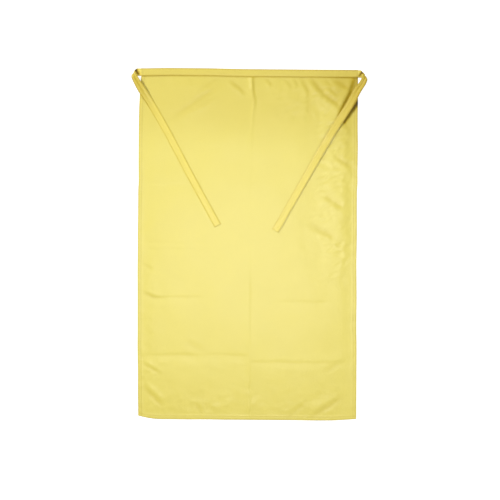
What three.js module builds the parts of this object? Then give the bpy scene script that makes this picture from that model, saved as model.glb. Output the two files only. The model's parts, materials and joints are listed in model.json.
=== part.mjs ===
import * as THREE from 'three';

// A long waist apron, lying flat with its front up. The panel is one cloth with narrow turned
// hems, a folded waistband holds its top edge, and a tie is caught in each end of the waistband,
// turned back in a soft roll and laid down over the panel.
// Millimetres, +X to the right, +Y towards the waistband, +Z up. The origin is under the middle
// of the apron, on the surface that it lies on.

// Panel and hems
const APRON_WIDTH = 560;
const APRON_HEIGHT = 900;
const CLOTH = 0.3; // one layer of the cloth
const LAYER_GAP = 0.1; // air between layers that lie on each other
const HEM_WIDTH = 10;
const HEM_LAYERS = 3;
const CREASE_STRIP = 12; // height of the strip that rolls when the apron is folded in half
const FOLD_SHORTFALL = 4; // the folded bottom edge stops this far below the waistband
const FOLD_CLEARANCE = 0.5; // between the folded half and the highest point of the ties

// Waistband
const WAISTBAND_HEIGHT = 20;
const PANEL_TUCK = 10; // how far the panel's top edge reaches into the waistband
const TUCK_SLOPE = 8; // the panel climbs onto the waistband's back layer over this run

// Ties
const TIE_LAYERS = 4;
const TIE_SIDE_GAP = 0.3; // between a tie's edges and the waistband around it
const TIE_INSERT = 30; // length of tie inside the waistband
const TIE_REACH = 18; // from the panel's side edge to the point where the tie turns back
const TIE_ANGLE = THREE.MathUtils.degToRad(60.6); // from the waistband down to the laid tie
const TIE_ROLL_RADIUS = 5.5; // of the roll at the turn, to the middle of the tape
const TIE_SLOPE_RUN = 95; // past the roll, the tie comes down to the panel over this length
const TIE_LIFT = 0.3; // air under a laid tie
const LEFT_TIE_LENGTH = 450; // from the turn to the end
const RIGHT_TIE_LENGTH = 464;
const ROLL_STEPS = 14;
const ROLL_GAP = 0.3; // between a roll and the tape at each end of it

// Sewing thread
const THREAD_WIDTH = 0.5;
const THREAD_HEIGHT = 0.2;
const SEAM_INSET = 1.5; // from a seam to the edge that it holds
const TACK_INSET = 4; // from the bar tack to the waistband's end

// Places and levels that follow from the sizes above
const sideX = APRON_WIDTH / 2;
const topY = APRON_HEIGHT / 2;
const bottomY = -topY;
const bandLowY = topY - WAISTBAND_HEIGHT;
const fieldSideX = sideX - HEM_WIDTH;
const hemThickness = HEM_LAYERS * CLOTH;
const foldY = (bottomY + bandLowY - FOLD_SHORTFALL) / 2;
const creaseTopY = foldY + CREASE_STRIP / 2;
const creaseLowY = foldY - CREASE_STRIP / 2;

const tuckBottomZ = CLOTH + LAYER_GAP;
const rootBottomZ = tuckBottomZ + CLOTH + LAYER_GAP;
const tieThickness = TIE_LAYERS * CLOTH;
const rootMiddleZ = rootBottomZ + tieThickness / 2;
const bandFrontZ = rootBottomZ + tieThickness + LAYER_GAP;
const bandThickness = bandFrontZ + CLOTH;

const tieWidth = WAISTBAND_HEIGHT - CLOTH - 2 * TIE_SIDE_GAP;
const turnX = sideX + TIE_REACH;
const turnY = bandLowY + TIE_SIDE_GAP + tieWidth / 2;
const rollTopZ = rootMiddleZ + 2 * TIE_ROLL_RADIUS;
const laidTieZ = CLOTH + TIE_LIFT + tieThickness / 2;
const halfRoll = Math.PI * TIE_ROLL_RADIUS / 2;

// The lower half of the panel folds up about this line, and both ties about the axes of their rolls.
export const foldAxis = {
  y: foldY,
  z: (rollTopZ + tieThickness / 2 + FOLD_CLEARANCE + hemThickness + THREAD_HEIGHT) / 2,
};
export const tieAxis = {
  x: turnX - halfRoll * Math.cos(TIE_ANGLE / 2),
  y: turnY - halfRoll * Math.sin(TIE_ANGLE / 2),
  z: rootMiddleZ + TIE_ROLL_RADIUS,
  directionX: -Math.sin(TIE_ANGLE / 2),
  directionY: Math.cos(TIE_ANGLE / 2),
};

const cloth = () => new THREE.MeshStandardMaterial({ color: 0xf7e98c, roughness: 0.72, metalness: 0 });
const thread = () => new THREE.MeshStandardMaterial({ color: 0xead774, roughness: 0.55, metalness: 0 });

function piece(name, geometry, material) {
  const mesh = new THREE.Mesh(geometry, material);
  mesh.name = name;
  return mesh;
}

// A flat rectangular piece between two heights and two sides, standing on bottomZ.
function slab(name, [x0, x1], [y0, y1], bottomZ, thickness, material = cloth()) {
  const mesh = piece(name, new THREE.BoxGeometry(x1 - x0, y1 - y0, thickness), material);
  mesh.position.set((x0 + x1) / 2, (y0 + y1) / 2, bottomZ + thickness / 2);
  return mesh;
}

// A line of thread on top of a surface, from one point to another along X or along Y.
function straightSeam(name, [x0, y0], [x1, y1], surfaceZ) {
  const half = THREAD_WIDTH / 2;
  return slab(name, [x0 - half, x1 + half], [y0 - half, y1 + half], surfaceZ, THREAD_HEIGHT, thread());
}

// A Y-Z outline swept across X, centred on X = 0.
function sweptAcross(name, outline, width) {
  const shape = new THREE.Shape(outline.map(([y, z]) => new THREE.Vector2(y, z)));
  const geometry = new THREE.ExtrudeGeometry(shape, { depth: width, bevelEnabled: false });
  geometry.translate(0, 0, -width / 2);
  const across = new THREE.Matrix4().makeBasis(
    new THREE.Vector3(0, 1, 0), new THREE.Vector3(0, 0, 1), new THREE.Vector3(1, 0, 0));
  geometry.applyMatrix4(across);
  return piece(name, geometry, cloth());
}

function makeUpperPanel() {
  const slopeEndY = bandLowY - LAYER_GAP;
  const tuckTopY = bandLowY + PANEL_TUCK;
  const underside = [
    [creaseTopY, 0],
    [slopeEndY - TUCK_SLOPE, 0],
    [slopeEndY, tuckBottomZ],
    [tuckTopY, tuckBottomZ],
  ];
  const upperSide = underside.map(([y, z]) => [y, z + CLOTH]).reverse();
  return sweptAcross('upper_panel', [...underside, ...upperSide], 2 * fieldSideX);
}

function makeWaistband() {
  return sweptAcross('waistband', [
    [bandLowY, 0],
    [topY, 0],
    [topY, bandThickness],
    [bandLowY, bandThickness],
    [bandLowY, bandFrontZ],
    [topY - CLOTH, bandFrontZ],
    [topY - CLOTH, CLOTH],
    [bandLowY, CLOTH],
  ], APRON_WIDTH);
}

function makeSideHems(part, fromY, toY) {
  const pieces = [];
  for (const [side, sign] of [['left', -1], ['right', 1]]) {
    const edges = [sign * fieldSideX, sign * sideX].sort((a, b) => a - b);
    const seamX = sign * (fieldSideX + SEAM_INSET);
    pieces.push(
      slab(`${part}_${side}_hem`, edges, [fromY, toY], 0, hemThickness),
      straightSeam(`${part}_${side}_hem_seam`, [seamX, fromY + SEAM_INSET], [seamX, toY - SEAM_INSET],
        hemThickness));
  }
  return pieces;
}

function makeWaist() {
  const waist = new THREE.Group();
  const seamY = bandLowY + SEAM_INSET;
  waist.add(
    makeUpperPanel(),
    slab('panel_crease', [-sideX, sideX], [creaseLowY, creaseTopY], 0, CLOTH),
    ...makeSideHems('upper', creaseTopY, bandLowY - LAYER_GAP),
    makeWaistband(),
    straightSeam('waistband_seam', [-sideX + SEAM_INSET, seamY], [sideX - SEAM_INSET, seamY], bandThickness));
  for (const [side, sign] of [['left', -1], ['right', 1]]) {
    const tackX = sign * (sideX - TACK_INSET);
    waist.add(straightSeam(`${side}_tie_tack`, [tackX, seamY + SEAM_INSET], [tackX, topY - SEAM_INSET],
      bandThickness));
  }
  return waist;
}

function makeLowerPanel() {
  const lower = new THREE.Group();
  const hemTopY = bottomY + HEM_WIDTH;
  const seamY = hemTopY - SEAM_INSET;
  lower.add(
    slab('lower_panel', [-fieldSideX, fieldSideX], [hemTopY, creaseLowY], 0, CLOTH),
    ...makeSideHems('lower', hemTopY, creaseLowY),
    slab('bottom_hem', [-sideX, sideX], [bottomY, hemTopY], 0, hemThickness),
    straightSeam('bottom_hem_seam', [-sideX + SEAM_INSET, seamY], [sideX - SEAM_INSET, seamY], hemThickness));
  return lower;
}

// Where a point of the tie's tape lies once the tape has been rolled back over itself. along runs
// down the tape from the turn, across is up the band's height, and through is the distance from
// the tape's middle towards the side that faces up in the waistband.
function placeOnTie(sign, along, across, through) {
  const outward = along * Math.cos(TIE_ANGLE / 2) + across * Math.sin(TIE_ANGLE / 2);
  const onAxis = -along * Math.sin(TIE_ANGLE / 2) + across * Math.cos(TIE_ANGLE / 2);
  let distance = outward;
  let height = rootMiddleZ + through;
  if (outward > halfRoll) {
    const down = Math.min((outward - halfRoll) / TIE_SLOPE_RUN, 1);
    distance = -outward;
    height = THREE.MathUtils.lerp(rollTopZ, laidTieZ, down) - through;
  } else if (outward > -halfRoll) {
    const turned = (outward + halfRoll) / TIE_ROLL_RADIUS;
    distance = -halfRoll + (TIE_ROLL_RADIUS - through) * Math.sin(turned);
    height = rootMiddleZ + TIE_ROLL_RADIUS - (TIE_ROLL_RADIUS - through) * Math.cos(turned);
  }
  return new THREE.Vector3(
    sign * (turnX + distance * Math.cos(TIE_ANGLE / 2) - onAxis * Math.sin(TIE_ANGLE / 2)),
    turnY + distance * Math.sin(TIE_ANGLE / 2) + onAxis * Math.cos(TIE_ANGLE / 2),
    height);
}

// A cut square across the tape, and a cut along the line at the given distance out from the turn,
// which is parallel to the roll.
const squareCut = (along) => () => along;
const rollCut = (outward) => (across) =>
  (outward - across * Math.sin(TIE_ANGLE / 2)) / Math.cos(TIE_ANGLE / 2);

// A length of tape, or of thread on it, running through a list of cuts.
function tape(name, sign, cuts, { across = 0, width = tieWidth, through = 0, thickness = tieThickness } = {},
  material = cloth()) {
  const steps = cuts.length - 1;
  const geometry = new THREE.BoxGeometry(steps, width, thickness, steps, 1, 1);
  const position = geometry.attributes.position;
  for (let i = 0; i < position.count; i++) {
    const cut = cuts[Math.round(position.getX(i) + steps / 2)];
    const acrossHere = across + sign * position.getY(i);
    const throughHere = through + position.getZ(i);
    const placed = placeOnTie(sign, cut(acrossHere), acrossHere, throughHere);
    position.setXYZ(i, placed.x, placed.y, placed.z);
  }
  geometry.computeVertexNormals();
  return piece(name, geometry, material);
}

function makeTie(side, sign, length) {
  const rollCuts = [];
  for (let step = 0; step <= ROLL_STEPS; step++) {
    rollCuts.push(rollCut(halfRoll * (2 * step / ROLL_STEPS - 1)));
  }
  const slopeCuts = [rollCut(halfRoll + ROLL_GAP), rollCut(halfRoll + TIE_SLOPE_RUN)];
  const onTop = {
    width: THREAD_WIDTH,
    through: -(tieThickness + THREAD_HEIGHT) / 2 - LAYER_GAP / 2,
    thickness: THREAD_HEIGHT,
  };
  const seamAcross = tieWidth / 2 - SEAM_INSET;
  const endSeam = [squareCut(length - SEAM_INSET - THREAD_WIDTH), squareCut(length - SEAM_INSET)];
  const seamCuts = [...slopeCuts, squareCut(length - 2 * SEAM_INSET)];

  const root = tape(`${side}_tie_root`, sign,
    [squareCut(-TIE_REACH - TIE_INSERT), rollCut(-halfRoll - ROLL_GAP)]);
  const tie = new THREE.Group();
  tie.add(
    tape(`${side}_tie_roll`, sign, rollCuts),
    tape(`${side}_tie`, sign, [...slopeCuts, squareCut(length)]),
    tape(`${side}_tie_inner_seam`, sign, seamCuts, { ...onTop, across: seamAcross }, thread()),
    tape(`${side}_tie_outer_seam`, sign, seamCuts, { ...onTop, across: -seamAcross }, thread()),
    tape(`${side}_tie_end_seam`, sign, endSeam, { ...onTop, width: tieWidth - 2 * SEAM_INSET }, thread()));
  return [root, tie];
}

const apron = new THREE.Group();
const waist = makeWaist();
const [leftRoot, leftTie] = makeTie('left', -1, LEFT_TIE_LENGTH);
const [rightRoot, rightTie] = makeTie('right', 1, RIGHT_TIE_LENGTH);
waist.add(leftRoot, rightRoot);
apron.add(waist, makeLowerPanel(), leftTie, rightTie);

export default apron;
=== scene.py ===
import json
import math

import bpy
import numpy as np
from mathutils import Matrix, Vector


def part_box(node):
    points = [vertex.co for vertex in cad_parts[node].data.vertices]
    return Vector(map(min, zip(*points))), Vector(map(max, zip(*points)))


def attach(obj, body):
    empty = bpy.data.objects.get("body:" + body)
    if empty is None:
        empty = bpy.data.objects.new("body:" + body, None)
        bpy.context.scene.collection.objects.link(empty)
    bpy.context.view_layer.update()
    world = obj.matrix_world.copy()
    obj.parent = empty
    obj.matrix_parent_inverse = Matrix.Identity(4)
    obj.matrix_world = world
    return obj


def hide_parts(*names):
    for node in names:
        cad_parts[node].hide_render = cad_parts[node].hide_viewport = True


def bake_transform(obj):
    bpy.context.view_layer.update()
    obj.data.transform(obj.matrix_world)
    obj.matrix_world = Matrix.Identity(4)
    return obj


# A long waist apron in pale yellow cloth. It lies flat with its front up, pressed but with the
# creases of its packing, and its two ties are turned back over the panel.

bl_info = {
    "name": "Waist Apron",
    "version": (1, 0, 0),
    "blender": (4, 5, 0),
    "location": "3D View > Sidebar > Apron",
    "description": "Makes a hemmed waist apron with a folded waistband, ties and stitches",
    "category": "Add Mesh",
}

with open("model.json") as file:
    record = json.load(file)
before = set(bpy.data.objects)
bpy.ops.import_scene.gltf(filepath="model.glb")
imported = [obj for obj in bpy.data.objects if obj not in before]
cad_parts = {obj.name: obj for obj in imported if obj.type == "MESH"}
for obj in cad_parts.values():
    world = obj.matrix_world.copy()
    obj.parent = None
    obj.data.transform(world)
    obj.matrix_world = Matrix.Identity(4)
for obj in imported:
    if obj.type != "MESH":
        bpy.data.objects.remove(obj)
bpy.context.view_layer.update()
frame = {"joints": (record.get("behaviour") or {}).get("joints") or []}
MM = 0.001

# The apron's flat pattern, in metres: u runs across it and v runs up it, from the frame.
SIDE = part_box("bottom_hem")[1].x
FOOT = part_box("bottom_hem")[0].y
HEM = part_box("bottom_hem")[1].y - FOOT
BAND_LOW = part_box("waistband")[0].y
BAND_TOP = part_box("waistband")[1].y
TUCK_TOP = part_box("upper_panel")[1].y
SIDES = (("left", -1), ("right", 1))

# A tie's tape.
TIE_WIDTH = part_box("left_tie_root")[1].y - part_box("left_tie_root")[0].y
TIE_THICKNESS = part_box("left_tie_root")[1].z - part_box("left_tie_root")[0].z
HALF_TIE = TIE_WIDTH / 2
VALLEY_ACROSS = 0.8 * MM  # from the tape's middle to the valley down it at the turn

# Heights of the cloth's front over the table: on the hems, just inside them, in the field, in
# the waistband and at the lowest. The back keeps TABLE_GAP clear of the table.
HEM_FRONT = 0.95 * MM
BESIDE_HEM = 0.60 * MM
FIELD_FRONT = 1.10 * MM
TUCK_FRONT = 0.75 * MM
LOWEST_FRONT = 0.46 * MM
TABLE_GAP = 0.05 * MM

# Seams
SEAM_INSET = 1.5 * MM  # from the edge that a seam holds
SEAM_LINE = HEM - SEAM_INSET  # in from the panel's edge
TIE_SEAM = HALF_TIE - SEAM_INSET  # out from a tie's middle
PUCKER_PITCH = 3.1 * MM  # between the small pulls along a seam
PATH_STEP = 1.2 * MM  # between the points that the stitches follow
STITCH_SIZES = (0.93, 1.05)  # the smallest and largest, as shares of the stitch length and width
STITCH_LIFT = 0.04 * MM  # from the cloth's face out to the middle of the stitches in it

# Meshes: the panel's grid in the field, at its edges and at its seams; then the waistband.
GRID_STEP = 3.5 * MM
EDGE_STEP = 0.3 * MM
SEAM_STEP = 0.7 * MM
SHARP_ANGLE = math.radians(55)
BAND_FACE = 14  # first point of the waistband's front in its profile
BAND_EDGE = 19  # first point of its lower edge there

# Painted shade: what the cloth's colour is multiplied by in light painted shade and in a dark
# painted pocket shadow. Up to the split value below, the painted shade deepens towards the first,
# and past it towards the second.
PAINTED_SHADE_TONE = (0.60, 0.49, 0.02, 1)
POCKET_SHADOW_TONE = (0.10, 0.055, 0.012, 1)
POCKET_SHADOW_START = 0.6

# The white table reaches far, and a low wall closes it off all round.
SWEEP_REACH = 30.0
SWEEP_RISE = 6.5
SWEEP_SIDES = 64

# These tables are in millimetres of the flat pattern.
# Creases pressed across the panel when it was packed: v, the stretch of u, the depth.
PRESSED_ACROSS = [
    (248, -150, -50, 0.20),
    (150, -268, -140, 0.34),
    (2, -268, -100, 0.34),
    (-15, -268, -105, 0.50),
    (-138, -264, -112, 0.50),
    (-286, -264, 6, 0.46),
    (153, 215, 270, 0.34),
    (-2, 135, 272, 0.50),
    (-148, 66, 216, 0.34),
    (-303, 10, 272, 0.36),
]

# The crease down the middle, where the apron was folded in two: v, u, rise.
PRESSED_DOWN = [
    (430, 8.5, 2.30),
    (396, 8.5, 2.00),
    (372, 14.5, 1.70),
    (352, 13.0, 1.10),
    (320, 9.5, 0.50),
    (250, 6.0, 0.22),
    (120, 4.0, 0.22),
    (20, 4.0, 0.14),
    (-50, 4.0, 0.18),
    (-110, 4.5, 0.40),
    (-300, 4.5, 0.42),
    (-380, 5.0, 0.55),
    (-440, 5.0, 0.70),
]

# Soft folds left in the cloth: from u, v to u, v, then depth and half width.
SOFT_FOLDS = [
    (-184, 330, -84, 402, 0.75, 8),
    (-130, 352, -88, 378, 0.35, 6),
    (-118, 400, -80, 424, 0.60, 6),
    (-45, 419, -11, 390, 1.60, 4),
    (45, 425, 60, 410, 1.20, 4),
    (96, 424, 112, 404, 0.70, 5),
    (118, 424, 128, 408, 0.80, 4),
    (136, 427, 156, 390, 1.30, 5),
    (154, 392, 158, 316, 0.60, 7),
    (160, 427, 192, 388, 1.90, 5.5),
    (190, 392, 232, 357, 1.70, 6),
    (196, 425, 214, 408, 0.90, 4),
    (221, 422, 257, 402, 1.60, 5.5),
    (204, 404, 226, 384, 0.90, 4.5),
    (268, 428, 262, 392, 1.50, 4),
    (260, 392, 234, 338, 1.60, 5),
    (237, 327, 266, 285, 0.90, 6),
    (224, 226, 266, 200, 1.05, 6),
    (198, 127, 243, 97, 0.95, 7),
    (165, 51, 225, 19, 0.90, 8),
    (-266, -52, -244, -65, 0.80, 3.5),
    (-263, -128, -231, -140, 1.10, 4),
    (-264, -309, -226, -332, 0.85, 4.5),
    (-262, -372, -221, -412, 1.30, 6),
    (-158, -250, -116, -274, 0.30, 7),
    (-133, -411, -118, -431, 0.80, 5),
    (170, -438, 238, -396, 1.10, 6),
    (108, -443, 148, -404, 0.65, 6),
    (200, -325, 233, -306, 0.50, 8),
]

# Painted shadows on the panel beside and under the ties' edges: from u, v to u, v, then half width
# and depth of the painted shadow.
PAINTED_TIE_SHADOWS = [
    (271, 428, 264, 396, 6, 0.18),
    (262, 394, 250, 371, 5, 0.28),
    (250, 371, 230, 332, 4.5, 0.34),
    (230, 332, 190, 262, 4, 0.10),
    (279, 366, 264, 345, 5.5, 0.62),
    (264, 345, 246, 315, 4.4, 0.60),
    (246, 315, 190, 219, 2.5, 0.12),
]

# Across a turned hem, from its outer fold inwards, in millimetres: distance from the edge, then
# the lower and upper height of its two turned layers as shares of the room under the panel.
HEM_SECTION = [
    (0.25, 0.38, 0.62), (0.45, 0.14, 0.84), (0.9, 0.02, 0.97), (1.8, 0, 1), (3.5, 0, 1),
    (5.5, 0, 1), (7.4, 0, 1), (8.1, 0.10, 1), (8.5, 0.16, 1), (8.9, 0.10, 1), (9.4, 0, 0.98),
    (9.75, 0.04, 0.90), (10.0, 0.32, 0.66),
]


# ---- Settings ----

class ApronClothSettings(bpy.types.PropertyGroup):
    cloth_colour: bpy.props.FloatVectorProperty(
        name="Cloth Colour", description="Dye of the panel and its hems",
        subtype="COLOR", size=3, min=0, max=1, default=(0.645, 0.552, 0.105))
    band_colour: bpy.props.FloatVectorProperty(
        name="Waistband Colour", description="Dye of the waistband, a touch deeper",
        subtype="COLOR", size=3, min=0, max=1, default=(0.585, 0.480, 0.082))
    tie_colour: bpy.props.FloatVectorProperty(
        name="Tie Colour", description="Dye of the ties, a touch warmer",
        subtype="COLOR", size=3, min=0, max=1, default=(0.668, 0.552, 0.090))
    cloth_thickness: bpy.props.FloatProperty(
        name="Cloth Thickness", description="Thickness of one layer of cloth",
        unit="LENGTH", default=0.3 * MM, min=0.1 * MM, max=1 * MM)
    thread_pitch: bpy.props.FloatProperty(
        name="Weave Pitch", description="Distance between neighbouring threads of the weave",
        unit="LENGTH", default=0.42 * MM, min=0.1 * MM, max=2 * MM)
    crease_depth: bpy.props.FloatProperty(
        name="Crease Depth", description="Share of the pressed creases' full depth",
        subtype="FACTOR", default=1.0, min=0, max=2)
    rumple_depth: bpy.props.FloatProperty(
        name="Rumple Depth", description="Share of the soft rumpling's full depth",
        subtype="FACTOR", default=1.0, min=0, max=2)


class ApronSewingSettings(bpy.types.PropertyGroup):
    thread_colour: bpy.props.FloatVectorProperty(
        name="Thread Colour", description="Dye of the sewing thread",
        subtype="COLOR", size=3, min=0, max=1, default=(0.560, 0.450, 0.075))
    thread_width: bpy.props.FloatProperty(
        name="Thread Width", description="Width of a stitch",
        unit="LENGTH", default=0.42 * MM, min=0.1 * MM, max=1 * MM)
    stitch_length: bpy.props.FloatProperty(
        name="Stitch Length", description="Length of one stitch of a seam",
        unit="LENGTH", default=2.6 * MM, min=1 * MM, max=6 * MM)
    stitch_gap: bpy.props.FloatProperty(
        name="Stitch Gap", description="Cloth between two stitches of a seam",
        unit="LENGTH", default=0.5 * MM, min=0, max=3 * MM)
    tack_pitch: bpy.props.FloatProperty(
        name="Tack Pitch", description="Distance between the bars of a tack's zigzag",
        unit="LENGTH", default=0.9 * MM, min=0.3 * MM, max=3 * MM)


class ApronStageSettings(bpy.types.PropertyGroup):
    camera_height: bpy.props.FloatProperty(
        name="Camera Height", description="Height of the camera over the table",
        unit="LENGTH", default=3.03, min=0.5, max=10)
    camera_roll: bpy.props.FloatProperty(
        name="Camera Roll", description="Turn of the camera about its line of sight",
        subtype="ANGLE", default=math.radians(0.45), min=-math.pi, max=math.pi)
    overhead_power: bpy.props.FloatProperty(
        name="Overhead Power", description="Power of the soft light over the table",
        subtype="POWER", default=21.0, min=0, max=1000)
    left_power: bpy.props.FloatProperty(
        name="Left Power", description="Power of the light from the upper left",
        subtype="POWER", default=308.0, min=0, max=2000)
    right_power: bpy.props.FloatProperty(
        name="Right Power", description="Power of the light from the right",
        subtype="POWER", default=110.0, min=0, max=2000)
    room_strength: bpy.props.FloatProperty(
        name="Room Strength", description="Strength of the even light from the white room",
        default=0.042, min=0, max=5)
    table_glow: bpy.props.FloatProperty(
        name="Table Glow", description="Light given off by the lit white table top",
        default=0.80, min=0, max=5)


def cloth_settings():
    return bpy.context.scene.apron_cloth


# ---- The lie of the cloth ----

def ramp(value, low, high):
    """Smooth step from 0 at low to 1 at high."""
    t = np.clip((value - low) / (high - low), 0, 1)
    return t * t * (3 - 2 * t)


def between(value, start, full, fading, end):
    """1 from full to fading, with a smooth step to 0 at start and at end."""
    return ramp(value, start, full) * (1 - ramp(value, fading, end))


def bump_at(distance, half_width):
    """A rounded bump: 1 in its middle and about a third at half_width."""
    return np.exp(-(distance / half_width) ** 2)


def noise(x, y, seed):
    """Gradient noise from about -1 to 1, the same on every run."""
    cells = 97
    angle = np.random.RandomState(seed).uniform(0, 2 * np.pi, (cells, cells))
    column, row = np.floor(x).astype(int), np.floor(y).astype(int)
    across, up = x - column, y - row

    def corner(i, j):
        turn = angle[(column + i) % cells, (row + j) % cells]
        return np.cos(turn) * (across - i) + np.sin(turn) * (up - j)

    ease_x, ease_y = across ** 2 * (3 - 2 * across), up ** 2 * (3 - 2 * up)
    low = corner(0, 0) * (1 - ease_x) + corner(1, 0) * ease_x
    high = corner(0, 1) * (1 - ease_x) + corner(1, 1) * ease_x
    return 1.5 * (low * (1 - ease_y) + high * ease_y)


def drawn_in(u, v):
    """How far the lie of the cloth moves a point of the flat pattern, across and up."""
    below_band = np.minimum(v - BAND_LOW, 0)
    above_foot = np.maximum(v - FOOT, 0)
    left_gather = ramp(-u, 0.10, SIDE) * np.exp(below_band / 0.050)
    left_corner = np.maximum((-u - 0.215) / (SIDE - 0.215), 0) ** 2 * np.exp(-above_foot / 0.045)
    right_corner = np.maximum((u - 0.215) / (SIDE - 0.215), 0) ** 1.3 * np.exp(-above_foot / 0.045)
    edge = ramp(np.abs(u), 0.5 * SIDE, SIDE) * np.sign(u)
    wave = noise(v / 0.085, np.sign(u) * 3.3, 21) * ramp(-below_band, 0.02, 0.10)
    dx = 6.0 * MM * left_gather - 0.0045 * v + 0.8 * MM * edge * wave
    dx = dx - 2.0 * MM * ramp(-u, 0.06, SIDE) * ramp(above_foot, 0.06, 0.20)
    dx = dx + 1.6 * MM * ramp(v, 0.130, 0.165)
    foot_wave = noise(u / 0.070, u * 0 + 5.1, 22) * np.exp(-above_foot / 0.060)
    dy = 9.0 * MM * left_corner + 4.2 * MM * right_corner + 0.5 * MM * foot_wave
    return dx, dy + 1.4 * MM * between(-u, 0.0, 0.12, 0.20, SIDE) * np.exp(below_band / 0.040)


def lie(u, v):
    """Where points of the flat pattern lie on the table."""
    dx, dy = drawn_in(u, v)
    return u + dx, v + dy


def pattern_point(x, y):
    """The point of the flat pattern that lies at x, y."""
    u, v = x, y
    for _ in range(3):
        dx, dy = drawn_in(u, v)
        u, v = x - dx, y - dy
    return u, v


def skewed(distance, near_width, far_width):
    """A rounded rise that is steeper on its far side, where distance is positive."""
    return bump_at(distance, np.where(distance > 0, far_width, near_width))


def pressed_creases(u, v):
    """Height of the packing creases: valleys across the panel and a ridge down its middle."""
    height = np.zeros_like(u)
    for crease_v, start, end, depth in PRESSED_ACROSS:
        shown = between(u / MM, start - 6, start + 22, end - 26, end + 6)
        wander = 2.2 * MM * noise(u / 0.050, u * 0 + crease_v, 31)
        uneven = 1 + 0.7 * noise(u / 0.034, u * 0 - crease_v, 34)
        away = v - crease_v * MM - wander
        height -= depth * MM * shown * uneven * skewed(away, 12 * MM, 4.4 * MM)
    places = np.array(sorted(PRESSED_DOWN)) * MM
    crease_u = np.interp(v, places[:, 0], places[:, 1])
    rise = np.interp(v, places[:, 0], places[:, 2])
    away = u - crease_u - 0.8 * MM * noise(v / 0.022, v * 0 + 1.7, 32)
    return height + rise * skewed(away, 7 * MM, 3.2 * MM)


def soft_folds(u, v):
    """The folds left in the cloth, each a valley with a low ridge on the apron's middle side: their
    height, and how deep in a valley each point lies."""
    height, valley = np.zeros_like(u), np.zeros_like(u)
    for u0, v0, u1, v1, depth, half_width in SOFT_FOLDS:
        start, end = np.array((u0, v0)) * MM, np.array((u1, v1)) * MM
        length = np.linalg.norm(end - start)
        forward = (end - start) / length
        along = (u - start[0]) * forward[0] + (v - start[1]) * forward[1]
        away = (u - start[0]) * forward[1] - (v - start[1]) * forward[0]
        if start[1] * forward[0] - start[0] * forward[1] < 0:
            away = -away
        away = away + 1.8 * MM * noise(along / 0.018, along * 0 + u0, 33)
        shown = between(along / length, -0.30, 0.30, 0.65, 1.3)
        width = half_width * MM
        hollow = shown * bump_at(away, width)
        height += depth * MM * (0.5 * shown * bump_at(away - 1.8 * width, 1.6 * width) - hollow)
        valley = np.maximum(valley, depth * hollow)
    return height, valley


def gathers(u, v):
    """Small puckers where the panel runs into the waistband, and along the hem seams."""
    head, side, foot = np.maximum(BAND_LOW - v, 0), SIDE - np.abs(u), v - FOOT
    fan = u * (1 + 0.9 * head)
    outer = 0.45 + 0.55 * ramp(np.abs(u), 0.06, 0.20) + 0.45 * ramp(u, 0.02, 0.12)
    height = 0.28 * noise(fan / 0.0085, head / 0.05, 41) * np.exp(-head / 0.014)
    height += 0.62 * noise(fan / 0.019, head / 0.08, 42) * np.exp(-head / 0.028) * outer
    height += 0.95 * noise(fan / 0.042, head / 0.10, 43) * np.exp(-head / 0.070) * outer
    from_side, from_foot = np.maximum(side - HEM, 0), np.maximum(foot - HEM, 0)
    height += 0.20 * noise(v / 0.0105, np.sign(u) * 7.7, 44) * np.exp(-from_side / 0.010)
    height += 0.34 * noise(v / 0.024, side / 0.03, 46) * np.exp(-from_side / 0.026)
    height += 0.20 * noise(u / 0.0115, u * 0 + 9.3, 45) * np.exp(-from_foot / 0.012)
    return height * MM


def rumples(u, v):
    """Soft unevenness: broad swells everywhere, and closer rumpling where the cloth was handled."""
    swell = 0.85 * noise(u / 0.120 + 3.1, v / 0.150 + 7.9, 51)
    swell += 0.34 * noise(u / 0.052, v / 0.060, 52)
    right = ramp(u, 0.130, 0.225) * between(v, -0.16, 0.0, 0.30, 0.42)
    low = 0.75 * (1 - ramp(v, -0.43, -0.34)) + 0.25 * (1 - ramp(v, -0.34, -0.24))
    corner = 0.40 * ramp(u, 0.03, 0.16) * ramp(v, 0.24, 0.38)
    left = 0.45 * ramp(-u, 0.19, 0.26) * ramp(-v, -0.05, 0.06)
    top = 0.30 * ramp(v, 0.26, 0.40)
    slant, climb = (u + 0.62 * v), (v - 0.62 * u)
    ridged = 1 - 2.2 * np.abs(noise(slant / 0.034, climb / 0.017, 53))
    fine = noise(u / 0.020, v / 0.018, 54)
    patchy = 1 + 0.8 * noise(u / 0.075, v / 0.065, 56)
    close = (right + corner + left + top) * patchy * (0.55 * ridged + 0.26 * fine)
    close += low * patchy * (0.42 * noise(u / 0.030, v / 0.021, 55) + 0.34 * fine)
    close += low * 0.28 * noise(u / 0.0115, v / 0.0105, 57)
    brow = between(u, 0.170, 0.232, 0.236, 0.274) * between(v, -0.08, 0.08, 0.33, 0.41)
    return (swell + close + 1.5 * brow) * MM


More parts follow.
